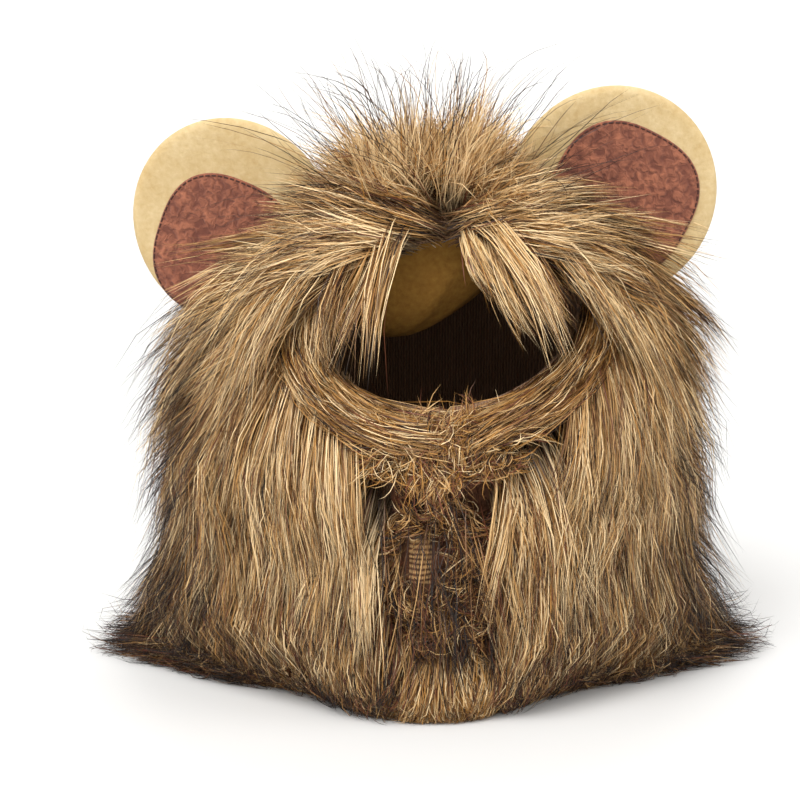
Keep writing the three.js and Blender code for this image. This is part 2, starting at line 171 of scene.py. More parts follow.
def finished(bm, name, material):
    """Makes the bmesh a piece that rides with the hood."""
    mesh = bpy.data.meshes.new(name)
    bm.to_mesh(mesh)
    bm.free()
    piece = placed(mesh, name, material)
    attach(piece, "root")
    return piece


def baked_down(piece):
    """Replaces a piece's mesh by what its modifiers make of it."""
    shown = piece.evaluated_get(bpy.context.evaluated_depsgraph_get())
    mesh = bpy.data.meshes.new_from_object(shown)
    piece.modifiers.clear()
    piece.data = mesh


def thickened(piece, thickness):
    """Gives a sheet its thickness, behind its face."""
    wall = piece.modifiers.new("wall", "SOLIDIFY")
    wall.thickness = thickness
    baked_down(piece)


def in_opening(x, z, margin=0.0):
    """A place in units of the opening's half width and half height, along its own tilted axes, or of those
    of an opening that is larger all round by a margin. x and z are taken from the hood's axis."""
    across = (x - FACE_X) * math.cos(FACE_TILT) + (z - FACE_Z) * math.sin(FACE_TILT)
    up = (z - FACE_Z) * math.cos(FACE_TILT) - (x - FACE_X) * math.sin(FACE_TILT)
    return across / (FACE_HALF_WIDTH + margin), up / (FACE_HALF_HEIGHT + margin)


def opening_place(across, up, margin=0.0):
    """The other way round: x and z of a place given in those units."""
    across = across * (FACE_HALF_WIDTH + margin)
    up = up * (FACE_HALF_HEIGHT + margin)
    x = FACE_X + across * math.cos(FACE_TILT) - up * math.sin(FACE_TILT)
    return x, FACE_Z + across * math.sin(FACE_TILT) + up * math.cos(FACE_TILT)


def two_shades(material, shader, share, dark, light, height=None, relief=0.0, strength=0.0):
    """Colours a cloth between two shades by a share, and raises it by a height where it has any relief. The
    dark shade may be a socket."""
    shades = {"Factor": share, 6: linear(dark) if isinstance(dark, str) else dark, 7: linear(light)}
    colour = add_node(material, "ShaderNodeMix", shades, data_type="RGBA").outputs[2]
    material.node_tree.links.new(colour, shader.inputs["Base Color"])
    if relief:
        raised = {"Height": height, "Distance": relief, "Strength": strength}
        bump = add_node(material, "ShaderNodeBump", raised)
        material.node_tree.links.new(bump.outputs["Normal"], shader.inputs["Normal"])


# Brown jersey: fine upright wales, so the inside reads as ribbed cloth and not as a smooth shell
knit, knit_shader = new_material("brown_jersey_knit", Roughness=0.95)
place = add_node(knit, "ShaderNodeTexCoord").outputs["Object"]
wales = add_node(
    knit,
    "ShaderNodeTexWave",
    {"Vector": place, "Scale": WAVE_TURN / KNIT_WALE, "Distortion": 2, "Detail": 1, "Detail Scale": 3},
    bands_direction="X",
)
wale = wales.outputs["Fac"]
two_shades(knit, knit_shader, wale, KNIT_DARK, KNIT_LIGHT, wale, KNIT_RELIEF, 0.6)

bm = bmesh.new()
heights = [HOOD_HEIGHT * (1 - (i / HOOD_RINGS) ** 2) for i in range(HOOD_RINGS + 1)]
outline = [bm.verts.new((cap_radius(z, NECK_RADIUS, HOOD_HEIGHT), 0, z)) for z in heights]
edges = [bm.edges.new(pair) for pair in zip(outline, outline[1:])]
bmesh.ops.spin(
    bm, geom=outline + edges, axis=(0, 0, 1), angle=2 * math.pi, steps=HOOD_STEPS, use_merge=True
)
bmesh.ops.remove_doubles(bm, verts=bm.verts, dist=0.01 * MM)
cut_out = []
for face in bm.faces:
    spot = face.calc_center_median()
    across, up = in_opening(spot.x, spot.z)
    in_slit = abs(spot.x - FLAP_X) < FRONT_SLIT / 2 and spot.z < FACE_Z
    if spot.y < 0 and (math.hypot(across, up) < 1 or in_slit):
        cut_out.append(face)
bmesh.ops.delete(bm, geom=cut_out, context="FACES")
for vert in bm.verts:
    across, up = in_opening(vert.co.x, vert.co.z)
    size = math.hypot(across, up)
    if not vert.is_boundary or vert.co.y > 0 or size > 1.2:
        continue
    x, z = opening_place(across / size, up / size)
    vert.co = (x, -math.sqrt(max(cap_radius(z, NECK_RADIUS, HOOD_HEIGHT) ** 2 - x**2, 0)), z)
squashed = Matrix.Translation(AXIS) @ Matrix.Diagonal((1, DEPTH_RATIO, 1, 1))
bmesh.ops.transform(bm, matrix=squashed, verts=bm.verts)
bmesh.ops.recalc_face_normals(bm, faces=bm.faces)
hood_cloth = finished(bm, "hood_cloth", knit)
thickened(hood_cloth, CLOTH)

# Undercoat
# The woolly mass of short fibres and crossing roots beneath the combed pile. It has the locks' own form, a
# little smaller, and shows only as darkness between the fibres: partly their dark roots, partly painted
# shade.
UNDERCOAT_SINK = 3.6 * MM
UNDERCOAT_SHARE = 0.62  # of the locks' stand-off from the cloth, and of the mane's at most
UNDERCOAT_VOXEL = 5 * MM
UNDERCOAT_ROUNDS = 12  # of smoothing
UNDERCOAT_NEAR_FLOOR = 0.45  # of that share at the floor, and all of it this high above
UNDERCOAT_FULL_Z = 25 * MM
UNDERCOAT_INNER = 5 * MM  # what lies nearer the cloth than this isn't drawn in
UNDERCOAT_GAP = 0.5 * MM  # and the least that it keeps to the cloth
UNDERCOAT_LOW = 0.3 * MM
PILE_STAND = 34 * MM  # how far the combed mane stands off the cloth
CROWN_STAND = 14 * MM
WOOL_GRAIN = 0.556 * MM
WOOL_COMBED = 0.12  # its streaks are longer than wide by the inverse of this
# painted shade: these dark browns stand in part for the shade deep in the pile between the locks
UNDERCOAT_SHADE_DARK = "#1c120b"
UNDERCOAT_SHADE_LIGHT = "#503320"
NOISE_LUMP = 0.5  # a noise texture of scale 1 has lumps about this many metres across


def outward(points):
    """The way out of the hood at points near its surface."""
    share = np.clip(points[..., 2] / HOOD_HEIGHT, 0, 1.3)
    rise = DOME_POWER / 2 * share ** (DOME_POWER - 1) * NECK_RADIUS / HOOD_HEIGHT
    x = (points[..., 0] - AXIS.x) / NECK_RADIUS
    y = (points[..., 1] - AXIS.y) / NECK_RADIUS / DEPTH_RATIO**2
    way = np.stack((x, y, rise), axis=-1)
    return way / np.linalg.norm(way, axis=-1, keepdims=True)


def off_cloth(points):
    """Roughly how far points outside the hood stand off its cloth."""
    x = (points[..., 0] - AXIS.x) / NECK_RADIUS
    y = (points[..., 1] - AXIS.y) / NECK_RADIUS / DEPTH_RATIO
    z = np.clip(points[..., 2] / HOOD_HEIGHT, 0, 1.3)
    size = np.sqrt(x**2 + y**2 + z**DOME_POWER)
    return (size - 1) * NECK_RADIUS / np.maximum(size, 1) ** 0.2


# Acrylic undercoat: matt and streaked dark brown, partly dark roots and partly painted shade between the
# locks
undercoat_and_shade, undercoat_and_shade_shader = new_material("acrylic_undercoat_and_painted_shade", Roughness=1.0, Specular_IOR_Level=0.0)
place = add_node(undercoat_and_shade, "ShaderNodeTexCoord").outputs["Object"]
combed = add_node(undercoat_and_shade, "ShaderNodeMapping", {"Vector": place, "Scale": (1, 1, WOOL_COMBED)}).outputs[0]
streaks = add_node(
    undercoat_and_shade, "ShaderNodeTexNoise", {"Vector": combed, "Scale": NOISE_LUMP / WOOL_GRAIN, "Detail": 3}
)
two_shades(undercoat_and_shade, undercoat_and_shade_shader, streaks.outputs["Fac"], UNDERCOAT_SHADE_DARK, UNDERCOAT_SHADE_LIGHT)

bm = bmesh.new()
bm.from_mesh(nodes["mane"].data)
bmesh.ops.remove_doubles(bm, verts=bm.verts, dist=0.005 * MM)
undercoat = finished(bm, "undercoat", undercoat_and_shade)
voxels = undercoat.modifiers.new("voxels", "REMESH")
voxels.mode = "VOXEL"
voxels.voxel_size = UNDERCOAT_VOXEL
baked_down(undercoat)
bm = bmesh.new()
bm.from_mesh(undercoat.data)
for _ in range(UNDERCOAT_ROUNDS):
    bmesh.ops.smooth_vert(bm, verts=bm.verts, factor=0.5, use_axis_x=True, use_axis_y=True, use_axis_z=True)
bm.normal_update()
spots = np.array([vert.co for vert in bm.verts])
ways = outward(spots)
stands = off_cloth(spots)
most = PILE_STAND * (1 - ways[:, 2] ** 2) + CROWN_STAND * ways[:, 2] ** 2
above_floor = np.clip(spots[:, 2] / UNDERCOAT_FULL_Z, 0, 1)
drawn_in = UNDERCOAT_NEAR_FLOOR + (1 - UNDERCOAT_NEAR_FLOOR) * above_floor
wanted = UNDERCOAT_SHARE * drawn_in * np.minimum(stands, most)
for vert, way, excess in zip(bm.verts, ways, np.where(stands > UNDERCOAT_INNER, stands - wanted, 0)):
    vert.co -= vert.normal * UNDERCOAT_SINK + Vector(way) * excess
spots = np.array([vert.co for vert in bm.verts])
for vert, way, stand in zip(bm.verts, outward(spots), off_cloth(spots)):
    vert.co += Vector(way) * max(UNDERCOAT_GAP - stand, 0)
    vert.co.z = max(vert.co.z, UNDERCOAT_LOW)
bm.to_mesh(undercoat.data)
bm.free()
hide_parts("mane")

# Long pile: how a fibre is made
# Acrylic fibres of about 75 mm, dark at the root, beige along their length, and some nearly black at the
# tip. They gather into pointed locks. Each is a thin ribbon whose map runs from root to tip, and across the
# map lie the tones that the yarn was blended from.
PILE = 76 * MM
DENSE_REACH = 108 * MM  # from the hood's axis to the edge of the pile
LONGEST_REACH = 134 * MM
WIDEST_REACH = 135.5 * MM  # and none reaches past this
FRONT_REACH = 0.89  # of those, at the front
CORNER_CUT = 0.2  # that much less half way round to the sides, below the height of the corners
CORNER_Z = 80 * MM
FLOOR_CUT = 0.22  # and that much less at the floor, from the height of the hem down
SIDE_FLOOR_CUT = 0.04  # where it spreads further at the sides
HEM_Z = 32 * MM
SHORT_REACH = 0.92  # and each fibre's own share of what it may reach
LONG_REACH = 1.02
WAIST_Z = 56 * MM  # the mane hangs a little closer here, above its flare
WAIST_HALF_HEIGHT = 24 * MM
WAIST_CUT = 0.11
DENSE_TOP = 216 * MM
LONGEST_TOP = 240 * MM
FIBRE_WIDTH = 0.4 * MM  # real ones are a quarter of this: it is what still shows
FIBRE_MAP = "OFBake"
TONES = {
    "black": "#150c08",
    "sable": "#2d1a0e",
    "umber": "#4f3019",
    "brown": "#7a532d",
    "ochre": "#9e7544",
    "sand": "#be955f",
    "beige": "#d6b079",
    "cream": "#e8ca9a",
    "gold": "#b28040",
    "russet": "#683822",
}
ROOT_TONE = "#301b0e"
TIP_TONE = "#140c08"
BLACK, CREAM, GOLD, RUSSET = (list(TONES).index(name) for name in ("black", "cream", "gold", "russet"))
TIPPED = len(TONES)  # added to a tone for a fibre with a dark tip
LOCK_SPREAD = 1.1  # how much the locks differ from each other, in tones
# painted shade: the deepest locks are made darker for the shade deep in the pile
DEEP_SHADE_TONES = 3.5  # how much darker the deepest ones are
NEAR_FLOOR_Z = 50 * MM  # fibres that end below this get darker and redder

# Acrylic long pile: a soft gloss on each fibre, a dark root, a tone of its own and on some a dark tip
pile, pile_shader = new_material("acrylic_long_pile", Roughness=0.48, Specular_IOR_Level=0.3)
along_map = add_node(pile, "ShaderNodeUVMap", uv_map=FIBRE_MAP).outputs[0]
axes = add_node(pile, "ShaderNodeSeparateXYZ", {0: along_map})
doubled = add_node(pile, "ShaderNodeMath", {0: axes.outputs["X"], 1: 2}, operation="MULTIPLY")
tone_place = add_node(pile, "ShaderNodeMath", {0: doubled.outputs[0]}, operation="FRACT")
tone = add_node(pile, "ShaderNodeValToRGB", {"Fac": tone_place.outputs[0]})
tone.color_ramp.interpolation = "CONSTANT"
for i, colour in enumerate(TONES.values()):
    stop = tone.color_ramp.elements[0] if i == 0 else tone.color_ramp.elements.new(i / len(TONES))
    stop.position = i / len(TONES)
    stop.color = linear(colour)
while len(tone.color_ramp.elements) > len(TONES):
    tone.color_ramp.elements.remove(tone.color_ramp.elements[-1])
tipped = add_node(pile, "ShaderNodeMath", {0: axes.outputs["X"], 1: 0.5}, operation="GREATER_THAN")
root_share = add_node(
    pile,
    "ShaderNodeMapRange",
    {0: axes.outputs["Y"], 1: 0.06, 2: 0.42, 3: 0.8, 4: 0},
    interpolation_type="SMOOTHSTEP",
)
tip_share = add_node(
    pile, "ShaderNodeMapRange", {0: axes.outputs["Y"], 1: 0.6, 2: 0.92}, interpolation_type="SMOOTHSTEP"
)
tip_mask = add_node(
    pile, "ShaderNodeMath", {0: tip_share.outputs[0], 1: tipped.outputs[0]}, operation="MULTIPLY"
)
rooted = add_node(
    pile,
    "ShaderNodeMix",
    {"Factor": root_share.outputs[0], 6: tone.outputs["Color"], 7: linear(ROOT_TONE)},
    data_type="RGBA",
)
two_shades(pile, pile_shader, tip_mask.outputs[0], rooted.outputs[2], TIP_TONE)


def held_in(value, dense, longest):
    """Leaves values below dense alone and draws those above it in, never past longest."""
    room = longest - dense
    return np.minimum(value, dense) + room * (1 - np.exp(-np.maximum(value - dense, 0) / room))


def outside(paths, reach=1.0):
    """Fibres kept out of the cloth and the floor, and the longest ones brought in."""
    x = paths[..., 0] - AXIS.x
    y = (paths[..., 1] - AXIS.y) / DEPTH_RATIO
    distance = np.hypot(x, y) + 1e-9
    wall = cap_radius(paths[..., 2], NECK_RADIUS, HOOD_HEIGHT) + 0.1 * MM
    ahead = np.clip(-y / distance, 0, 1)
    low = np.clip(1 - paths[..., 2] / CORNER_Z, 0, 1)
    lowest = np.clip(1 - paths[..., 2] / HEM_Z, 0, 1)
    floor_cut = SIDE_FLOOR_CUT + (FLOOR_CUT - SIDE_FLOOR_CUT) * np.minimum(4 * ahead, 1)
    allowed = 1 - (1 - FRONT_REACH) * ahead**2 - floor_cut * lowest
    allowed = allowed - CORNER_CUT * low * (2 * ahead * np.abs(x) / distance) ** 2
    allowed = allowed - WAIST_CUT * np.exp(-(((paths[..., 2] - WAIST_Z) / WAIST_HALF_HEIGHT) ** 2))
    allowed = allowed * reach * random.uniform(SHORT_REACH, LONG_REACH, (len(paths), 1))
    held = held_in(distance, DENSE_REACH * allowed, LONGEST_REACH * allowed)
    push = np.clip(held, wall, WIDEST_REACH) / distance
    z = held_in(np.maximum(paths[..., 2], 0.4 * MM), DENSE_TOP, LONGEST_TOP)
    return np.stack((AXIS.x + x * push, AXIS.y + y * push * DEPTH_RATIO, z), axis=-1)


EARS = {
    "left": {"middle": (-72, 2, 170), "pitch": 4, "roll": 20, "yaw": -16, "patch_drop": 11},
    "right": {"middle": (66, 2, 181), "pitch": -2, "roll": -62, "yaw": 12, "patch_drop": 4},
}
EAR_RADIUS = 40 * MM
EAR_FRONT = 9.5 * MM  # fibres pass this far before an ear's middle, or this far behind it
EAR_BACK = 5.5 * MM
EAR_MARGIN = 6 * MM  # and begin to turn aside this far from its edge


def ear_place(ear):
    turn = (
        Matrix.Rotation(math.radians(ear["yaw"]), 4, "Z")
        @ Matrix.Rotation(math.radians(ear["roll"]), 4, "Y")
        @ Matrix.Rotation(math.radians(ear["pitch"]), 4, "X")
    )
    return Matrix.Translation(AXIS + Vector(ear["middle"]) * MM) @ turn


def round_ears(paths):
    """Fibres that would pass through an ear are laid over its front or down its back."""
    for ear in EARS.values():
        place = ear_place(ear)
        middle = np.array(place.translation)
        forward = np.array(place.to_3x3() @ Vector((0, -1, 0)))
        depth = (paths - middle) @ forward
        across = np.linalg.norm(paths - middle - depth[..., None] * forward, axis=-1)
        front = depth[:, :1] > -1 * MM
        wanted = np.where(front, np.maximum(depth, EAR_FRONT), np.minimum(depth, -EAR_BACK))
        near = np.clip((EAR_RADIUS + EAR_MARGIN - across) / EAR_MARGIN, 0, 1)
        paths = paths + (near * (wanted - depth))[..., None] * forward
    return paths


def fibres_round(guides, count, lock_radius, gather=0.8, frizz=1.5 * MM, shortest=0.6, points=5):
    """Fibres about guide curves. Each keeps its place in its lock, and the lock closes towards its tip."""
    last = guides.shape[1] - 1
    pick = random.integers(len(guides), size=count)
    share = random.uniform(shortest, 1, count)[:, None] * np.linspace(0, 1, points)
    step = np.minimum((share * last).astype(int), last - 1)
    part = (share * last - step)[..., None]
    paths = guides[pick[:, None], step] * (1 - part) + guides[pick[:, None], step + 1] * part
    offset = random.normal(size=(count, 3))
    offset *= lock_radius * random.uniform(0, 1, (count, 1)) ** 0.5 / np.linalg.norm(offset, axis=1)[:, None]
    stray = random.normal(size=(count, 3)) * frizz
    bend = random.normal(size=(count, 3)) * frizz
    share = share[..., None]
    paths = paths + offset[:, None] * (1 - gather * share) + stray[:, None] * share**1.5 * 2
    return paths + bend[:, None] * np.sin(share * math.pi), pick


def fur(name, paths, tones, width=FIBRE_WIDTH):
    """One mesh of ribbons along the paths. tones holds each fibre's column in the map."""
    count, points = paths.shape[:2]
    along = np.gradient(paths, axis=1)
    facing = outward(paths) + random.normal(size=(count, 1, 3)) * 0.55
    wide = np.cross(along, facing)
    wide /= np.linalg.norm(wide, axis=-1, keepdims=True) + 1e-12
    share = np.linspace(0, 1, points)
    half = 0.5 * width * (0.75 + 0.5 * share - 1.1 * share**3)
    half = half * random.uniform(0.7, 1.25, (count, 1))
    aside = wide * half[..., None]
    ribbon = np.empty((count, 2 * points - 1, 3))
    ribbon[:, 0:-1:2] = (paths - aside)[:, :-1]
    ribbon[:, 1:-1:2] = (paths + aside)[:, :-1]
    ribbon[:, -1] = paths[:, -1]
    step = 2 * np.arange(points - 2)
    quads = np.stack((step, step + 1, step + 3, step + 2), axis=1)
    tip = np.array((2 * points - 4, 2 * points - 3, 2 * points - 2))
    first = np.arange(count)[:, None] * (2 * points - 1)
    faces = (first[:, :, None] + quads).reshape(-1, 4).tolist() + (first + tip).tolist()
    mesh = bpy.data.meshes.new(name)
    mesh.from_pydata(ribbon.reshape(-1, 3), [], faces)
    columns = 2 * len(TONES)
    u = np.empty((count, 2 * points - 1))
    u[:, 0::2] = ((tones + 0.25) / columns)[:, None]
    u[:, 1::2] = ((tones + 0.75) / columns)[:, None]
    u[:, -1] = (tones + 0.5) / columns
    v = np.append(np.repeat(share[:-1], 2), 1)
    spots = np.stack((u, np.broadcast_to(v, u.shape)), axis=-1).reshape(-1, 2)
    corners = np.empty(len(mesh.loops), dtype=np.int64)
    mesh.loops.foreach_get("vertex_index", corners)
    mesh.uv_layers.new(name=FIBRE_MAP).data.foreach_set("uv", spots[corners].ravel())
    piece = placed(mesh, name, pile)
    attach(piece, "root")


def blended(pick, middle, spread=1.5, gold=0.06, russet=0.05, tipped=0.2, depth=None, low=0.0):
    """A tone for each fibre: its lock's own, give or take. depth is 0 to 1 for a lock deep in the pile,
    which is darkened as painted shade, low is 0 to 1 for a fibre that ends near the floor."""
    locks = middle + random.normal(size=pick.max() + 1) * LOCK_SPREAD
    if depth is not None:
        # painted shade: locks deep in the pile are darkened
        locks = locks - DEEP_SHADE_TONES * depth[: len(locks)]
    tones = np.clip(np.round(locks[pick] - 0.7 * low + random.normal(size=len(pick)) * spread), BLACK, CREAM)
    chance = random.uniform(size=len(pick))
    tones = np.where(chance < gold, GOLD, np.where(chance > 1 - russet - 0.12 * low, RUSSET, tones))
    return tones + TIPPED * (random.uniform(size=len(pick)) < tipped + 0.4 * low)


def near_floor(paths):
    return np.clip(1 - paths[:, -1, 2] / NEAR_FLOOR_Z, 0, 1)


# Body of the mane
# Pile combed straight down all round, from the crown to the floor. Where it reaches the floor it spreads
# outwards. At the front it hangs in two curtains, one each side of the chin flap.
GUIDE_POINTS = 12
ALONG = np.linspace(0, 1, GUIDE_POINTS)
HEM_HIGH = 38 * MM  # where the mane begins to flare
HEM_FLARE = 0.58
LAID = 45 * MM  # the most of a fibre that lies on the floor, at the sides
FLOOR_GAP = 1.2 * MM  # the lowest that a lock's middle lies
FLOOR_HEAP = 3 * MM  # and how much higher others lie on it
DRIFT = 0.075  # how far a lock wanders round the hood as it falls, in radians
WAVE = 0.03
ROOT_MARGIN = 9 * MM  # no body lock grows nearer the face opening than this
LOCK_RADIUS = 6.5 * MM
FLAP_ANGLE = math.asin(FLAP_X / NECK_RADIUS)
MERIDIAN_Z = HOOD_HEIGHT * (1 - np.linspace(0, 1, 400) ** 2)
MERIDIAN_RADIUS = cap_radius(MERIDIAN_Z, NECK_RADIUS, HOOD_HEIGHT)
MERIDIAN = np.append(0, np.cumsum(np.hypot(np.diff(MERIDIAN_Z), np.diff(MERIDIAN_RADIUS))))


def fur_radius(z, out):
    return cap_radius(z, NECK_RADIUS + PILE_STAND * out, HOOD_HEIGHT + CROWN_STAND * out)


def fur_point(angle, z, out):
    """A place in the fur by the angle from the front towards +X. out is 0 on the cloth, 1 on the mane."""
    radius = fur_radius(z, out)
    return np.stack(
        (AXIS.x + radius * np.sin(angle), AXIS.y - DEPTH_RATIO * radius * np.cos(angle), z), axis=-1
    )


def falling(angle, root, length, out, quick, lift=0.0, splay=0.15, front_share=0.2):
    """Guides that leave the cloth at a height, fall by a length, and flare outwards at the floor, most at
    the sides."""
    angle, root, length, out, quick = (value[:, None] for value in (angle, root, length, out, quick))
    aside = np.sin(angle) ** 2
    start = np.interp(root, MERIDIAN_Z[::-1], MERIDIAN[::-1])
    length = np.minimum(length, MERIDIAN[-1] - start + LAID * (0.2 + 0.8 * aside))
    along = start + length * ALONG
    height = np.interp(along, MERIDIAN, MERIDIAN_Z) - np.maximum(along - MERIDIAN[-1], 0)
    floor = FLOOR_GAP + FLOOR_HEAP * random.uniform(size=root.shape)
    below = np.maximum(floor - height, 0)
    height = np.maximum(height, floor)
    flare = HEM_FLARE * np.clip((HEM_HIGH - height) / (0.7 * HEM_HIGH), 0, 1) ** 1.5 * ALONG
    off = out * (1 - (1 - ALONG) ** quick) + lift * ALONG**2.5
    off = off + (front_share + (1 - front_share) * aside) * (flare + splay * below / PILE_STAND)
    drift = random.normal(size=root.shape) * DRIFT
    wave = random.normal(size=root.shape) * WAVE
    return fur_point(angle + drift * ALONG + wave * np.sin(5 * ALONG), height, off)


def roots(count, first, last, low, high):
    """Root angles and heights, spread evenly over the cloth between two angles in degrees and two shares."""
    angle = np.radians(random.uniform(first, last, 4 * count)) + FLAP_ANGLE
    share = random.uniform(low, high, 4 * count)
    radius = cap_radius(share * HOOD_HEIGHT, NECK_RADIUS, HOOD_HEIGHT)
    slant = DOME_POWER / 2 * NECK_RADIUS**2 * share ** (DOME_POWER - 1) / HOOD_HEIGHT
    even = random.uniform(size=4 * count) < np.hypot(radius, slant) / NECK_RADIUS / 1.1
    beside = np.hypot(*in_opening(radius * np.sin(angle), share * HOOD_HEIGHT, ROOT_MARGIN)) > 1
    keep = even & (beside | (np.cos(angle) < 0))
    return angle[keep][:count], share[keep][:count] * HOOD_HEIGHT


def roots_between(ranges, count, low, high):
    """The same in several ranges of angle, with a count of roots in each."""
    spots = [roots(count, first, last, low, high) for first, last in ranges]
    return [np.concatenate(values) for values in zip(*spots)]


for name, first, last, locks, fibres in (
    ("curtain_left", -62, -19, 250, 18500),
    ("curtain_right", 16, 62, 250, 18500),
    ("side_left", -125, -62, 240, 11500),
    ("side_right", 62, 125, 240, 11500),
    ("back_left", 125, 180, 190, 7500),
    ("back_right", 180, 235, 190, 7500),
):
    angle, root = roots(locks, first, last, 0.06, 0.985)
    depth = random.uniform(0, 1, len(root)) ** 1.6
    raised = random.uniform(0, 1, (len(root), 1))
    guides = falling(
        angle,
        root,
        PILE * random.uniform(0.75, 1.05, len(root)),
        1.06 - 0.36 * depth,
        random.uniform(1.6, 3, len(root)),
        lift=0.06 + 0.34 * raised**4,
    )
    paths, pick = fibres_round(guides, fibres, LOCK_RADIUS, gather=0.82, points=4)
    paths = round_ears(outside(paths))
    fur(name, paths, blended(pick, 6.3, spread=1.9, depth=depth, tipped=0.34, low=near_floor(paths)))

# Hem of the mane
# The lowest rows lie splayed on the floor. Their fibres are darker and redder than the rest, and end nearly
# black. The longest stick out in thin tips.
HEM_CLEAR = math.radians(15)  # kept free each side of the middle of the chin flap
HEM_TIP_WIDTH = 0.3 * MM

for name, first, last, fibres in (("hem_front", -80, 80, 7600), ("hem_back", 80, 280, 6400)):
    angle, root = roots(220, first, last, 0.03, 0.24)
    beside_flap = np.abs(angle - FLAP_ANGLE) > HEM_CLEAR
    angle, root = angle[beside_flap], root[beside_flap]
    guides = falling(
        angle,
        root,
        PILE * random.uniform(0.5, 0.8, len(root)),
        random.uniform(0.55, 1.0, len(root)),
        random.uniform(1.3, 2.2, len(root)),
        splay=random.uniform(0.05, 0.4, (len(root), 1)),
    )
    paths, pick = fibres_round(guides, fibres, 7 * MM, gather=0.5, frizz=2.8 * MM, points=4)
    fur(name, outside(paths), blended(pick, 4.5, russet=0.16, gold=0.03, tipped=0.85))

angle, root = roots_between(((-115, -17), (17, 115)), 170, 0.06, 0.2)
guides = falling(
    angle,
    root,
    PILE * random.uniform(0.8, 1.05, len(root)),
    np.ones(len(root)),
    random.uniform(1.3, 2, len(root)),
    lift=random.uniform(0.2, 0.6, (len(root), 1)),
    splay=random.uniform(0.5, 1.5, (len(root), 1)),
    front_share=0.7,
)
paths, pick = fibres_round(guides, 2100, 4 * MM, gather=0.6, frizz=3 * MM, shortest=0.75)
paths = outside(paths, reach=1.05)
fur("hem_tips", paths, blended(pick, 1.0, gold=0, russet=0.1, tipped=0.9), width=HEM_TIP_WIDTH)

# Brow and cheeks
# From a parting over the middle of the face opening, the pile is combed sideways off the opening's edge. It
# sweeps over the lower half of each ear and down the cheeks.
BROW = {
    "rim": (2, 9, 22, 40, 60, 82, 108, 128),  # degrees round the opening from its top
    "heading": (60, 68, 84, 102, 119, 138, 158, 172),  # degrees from straight up
    "bend": (14, 16, 20, 24, 27, 26, 18, 8),  # degrees that it turns down by its tip
    "length": (0.52, 0.6, 0.68, 0.8, 0.92, 0.98, 0.96, 0.9),  # share of the pile
}
BROW_LOCKS = 260  # a side
BROW_DEPTH = 13 * MM  # of the band along the opening's edge that they grow from


def rim_place(degrees, margin):
    """x and z of a place round the face opening by degrees from its top, a margin outside its edge."""
    turn = np.radians(degrees)
    return opening_place(np.sin(turn), np.cos(turn), margin)


def front_point(x, z, out):
    """A place in the fur of the front half, by x from the hood's axis."""
    radius = fur_radius(z, out)
    room = np.maximum(radius**2 - x**2, (28 * MM) ** 2 * np.clip(out, 0, 1))
    return np.stack((AXIS.x + x, AXIS.y - DEPTH_RATIO * np.sqrt(room), z), axis=-1)


def swept(side, rim, margin, heading, bend, length, out):
    """Guides combed off the opening's edge, turning down as they go."""
    x, z = rim_place(side * rim, margin)
    way = np.radians(heading[:, None] + bend[:, None] * ALONG)
    step = length[:, None] / (GUIDE_POINTS - 1)
    x = x[:, None] + side * np.cumsum(np.sin(way) * step, axis=1) - side * np.sin(way[:, :1]) * step
    z = z[:, None] + np.cumsum(np.cos(way) * step, axis=1) - np.cos(way[:, :1]) * step
    return front_point(x, z, out[:, None] * (1 - (1 - ALONG) ** 2.4))


for side, name in ((-1, "brow_left"), (1, "brow_right")):
    rim = random.uniform(BROW["rim"][0], BROW["rim"][-1], BROW_LOCKS)
    depth = random.uniform(0, 1, BROW_LOCKS) ** 1.4
    guides = swept(
        side,
        rim,
        random.uniform(0, 1, BROW_LOCKS) ** 1.3 * BROW_DEPTH,
        np.interp(rim, BROW["rim"], BROW["heading"]) + random.normal(size=BROW_LOCKS) * 7,
        np.interp(rim, BROW["rim"], BROW["bend"]) + random.normal(size=BROW_LOCKS) * 8,
        np.interp(rim, BROW["rim"], BROW["length"]) * PILE * random.uniform(0.8, 1.1, BROW_LOCKS),
        1.06 - 0.42 * depth,
    )
    paths, pick = fibres_round(guides, 14500, 5.5 * MM, gather=0.75, points=4)
    fur(name, round_ears(outside(paths)), blended(pick, 6.05, spread=1.9, depth=depth, tipped=0.36))

# Crown tuft
# Over the parting the pile stands straight up in a messy fountain between the ears. Behind, it lies lower. A
# few long dark guard hairs rise out of it.
CROWN_TUFTS = (  # share of the neck radius to the right, and how much longer the pile is there
    (-0.2, 0.26),
    (0.16, 0.28),
)
CROWN_TUFT_RADIUS = 0.09  # share of the neck radius
GUARD_HAIR_WIDTH = 0.28 * MM


def standing(count, half_width, front, back, shortest, longest, upright, loose):
    """Guides that stand up from the top of the hood and fan out to both sides. The area that they grow from
    is in shares of the neck radius, their length of the pile, and upright and loose are degrees."""
    spot_x = random.uniform(-half_width, half_width, count)
    spot_y = random.uniform(front, back, count)
    x = AXIS.x + spot_x * NECK_RADIUS
    y = AXIS.y + spot_y * NECK_RADIUS * DEPTH_RATIO
    root = np.stack((x, y, HOOD_HEIGHT * (1 - spot_x**2 - spot_y**2) ** (1 / DOME_POWER)), axis=-1)
    heading = np.radians(120 * spot_x + random.normal(size=count) * loose)
    lean = np.radians(upright + 75 * spot_y + random.normal(size=count) * loose * 0.8)
    way = np.stack((np.sin(heading) * np.cos(lean), np.sin(lean), np.cos(heading) * np.cos(lean)), axis=-1)
    share = ALONG[:, None]
    tall = random.uniform(shortest, longest, count) * (1 - 0.8 * np.abs(spot_x))
    for middle, more in CROWN_TUFTS:
        tall = tall + more * np.exp(-(((spot_x - middle) / CROWN_TUFT_RADIUS) ** 2)) * (spot_y < -0.1)
    length = PILE * tall[:, None, None]
    curl = random.normal(size=(count, 1, 3)) * 0.12 * share**2 * length
    droop = np.array((0, 0, -0.22)) * share**2.5 * length
    return root[:, None] + way[:, None] * share * length + droop + curl


